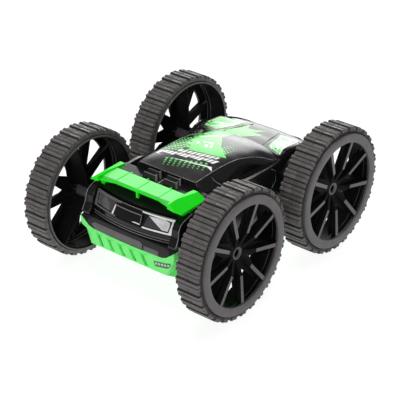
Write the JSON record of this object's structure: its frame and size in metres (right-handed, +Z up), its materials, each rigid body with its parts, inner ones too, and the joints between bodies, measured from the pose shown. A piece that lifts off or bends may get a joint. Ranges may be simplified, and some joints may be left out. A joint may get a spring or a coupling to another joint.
{
  "type": "radio-controlled stunt car",
  "caption": "Double-sided toy stunt car with large spoked drum wheels, a low two-colour body, a rear wing and geared rear drive.",
  "frame": {"origin": "on the floor under the middle of the car, halfway between the axles", "axes": "+Y towards the car's front, +X to its right, +Z up"},
  "size_m": [0.2006, 0.2554, 0.1184],
  "materials": {
    "tread_rubber": "matt dark grey rubber-like tread",
    "rim_plastic": "satin black plastic",
    "black_shell": "semi-gloss black plastic with printed green graphics",
    "gloss_black": "polished black plastic",
    "green_shell": "bright lime green plastic",
    "lamp_lens": "smoky polished lens",
    "inner_plastic": "moulded dark grey plastic",
    "gear_plastic": "off-white acetal",
    "steel": "bright turned steel",
    "motor_can": "plated steel can",
    "brass": "turned brass",
    "circuit_board": "green board",
    "cell_wrap": "blue shrink wrap",
    "led_clear": "clear epoxy",
    "motor_lead": "red insulated wire",
    "wire": "black insulated wire",
    "switch_black": "moulded black plastic"
  },
  "bodies": {
    "chassis": {"upper_shell": "black_shell", "lower_shell": "green_shell", "tail_panel": "gloss_black", "tail_lamp_right": "lamp_lens", "tail_lamp_left": "lamp_lens", "rear_bumper": "black_shell", "rear_wing": "green_shell", "engine_cover": "gloss_black", "battery_door": "green_shell", "battery_door_screw": "steel", "power_switch_housing": "inner_plastic", "tail_led_right": "led_clear", "tail_led_left": "led_clear", "rear_right_pod_screw": "steel", "rear_left_pod_screw": "steel", "front_right_pod_screw": "steel", "front_left_pod_screw": "steel", "rear_gearbox_case": "inner_plastic", "rear_gearbox_lid": "inner_plastic", "front_axle_carrier": "inner_plastic", "chassis_tray": "inner_plastic", "battery_pack": "cell_wrap", "circuit_board": "circuit_board", "antenna_wire": "wire", "right_motor_leads": "motor_lead", "left_motor_leads": "motor_lead", "right_drive_motor": "motor_can", "left_drive_motor": "motor_can", "right_gear_pin": "steel", "left_gear_pin": "steel", "rear_right_bushing": "brass", "rear_left_bushing": "brass", "front_right_bushing": "brass", "front_left_bushing": "brass"},
    "rear_right_wheel": {"rear_right_tyre": "tread_rubber", "rear_right_rim": "rim_plastic", "rear_right_wheel_screw": "steel", "rear_right_axle": "steel", "right_output_gear": "gear_plastic"},
    "rear_left_wheel": {"rear_left_tyre": "tread_rubber", "rear_left_rim": "rim_plastic", "rear_left_wheel_screw": "steel", "rear_left_axle": "steel", "left_output_gear": "gear_plastic"},
    "front_right_wheel": {"front_right_tyre": "tread_rubber", "front_right_rim": "rim_plastic", "front_right_wheel_screw": "steel", "front_right_axle": "steel", "front_right_axle_clip": "steel"},
    "front_left_wheel": {"front_left_tyre": "tread_rubber", "front_left_rim": "rim_plastic", "front_left_wheel_screw": "steel", "front_left_axle": "steel", "front_left_axle_clip": "steel"},
    "right_compound": {"right_compound_gear": "gear_plastic"},
    "left_compound": {"left_compound_gear": "gear_plastic"},
    "right_pinion": {"right_motor_pinion": "brass"},
    "left_pinion": {"left_motor_pinion": "brass"},
    "power_switch": {"power_switch_slider": "switch_black"}
  },
  "joints": [
    {"name": "rear_right_wheel_spin", "type": "hinge", "parent": "chassis", "child": "rear_right_wheel", "pos_m": [0.0862, -0.0684, 0.0592], "axis": [1, 0, 0], "continuous": true},
    {"name": "rear_left_wheel_spin", "type": "hinge", "parent": "chassis", "child": "rear_left_wheel", "pos_m": [-0.0862, -0.0684, 0.0592], "axis": [1, 0, 0], "continuous": true},
    {"name": "front_right_wheel_spin", "type": "hinge", "parent": "chassis", "child": "front_right_wheel", "pos_m": [0.0862, 0.0684, 0.0592], "axis": [1, 0, 0], "continuous": true},
    {"name": "front_left_wheel_spin", "type": "hinge", "parent": "chassis", "child": "front_left_wheel", "pos_m": [-0.0862, 0.0684, 0.0592], "axis": [1, 0, 0], "continuous": true},
    {"name": "right_compound_spin", "type": "hinge", "parent": "chassis", "child": "right_compound", "pos_m": [0.04, -0.0516, 0.0592], "axis": [1, 0, 0], "continuous": true},
    {"name": "left_compound_spin", "type": "hinge", "parent": "chassis", "child": "left_compound", "pos_m": [-0.04, -0.0516, 0.0592], "axis": [1, 0, 0], "continuous": true},
    {"name": "right_pinion_spin", "type": "hinge", "parent": "chassis", "child": "right_pinion", "pos_m": [0.037, -0.0386, 0.0592], "axis": [1, 0, 0], "continuous": true},
    {"name": "left_pinion_spin", "type": "hinge", "parent": "chassis", "child": "left_pinion", "pos_m": [-0.037, -0.0386, 0.0592], "axis": [1, 0, 0], "continuous": true},
    {"name": "power_switch_slide", "type": "slide", "parent": "chassis", "child": "power_switch", "axis": [1, 0, 0], "range_m": [0, 0.003]}
  ],
  "couplings": [
    {"joint": "right_compound_spin", "follows": "rear_right_wheel_spin", "ratio": -2.5},
    {"joint": "right_pinion_spin", "follows": "rear_right_wheel_spin", "ratio": 5.625},
    {"joint": "left_compound_spin", "follows": "rear_left_wheel_spin", "ratio": -2.5},
    {"joint": "left_pinion_spin", "follows": "rear_left_wheel_spin", "ratio": 5.625}
  ]
}
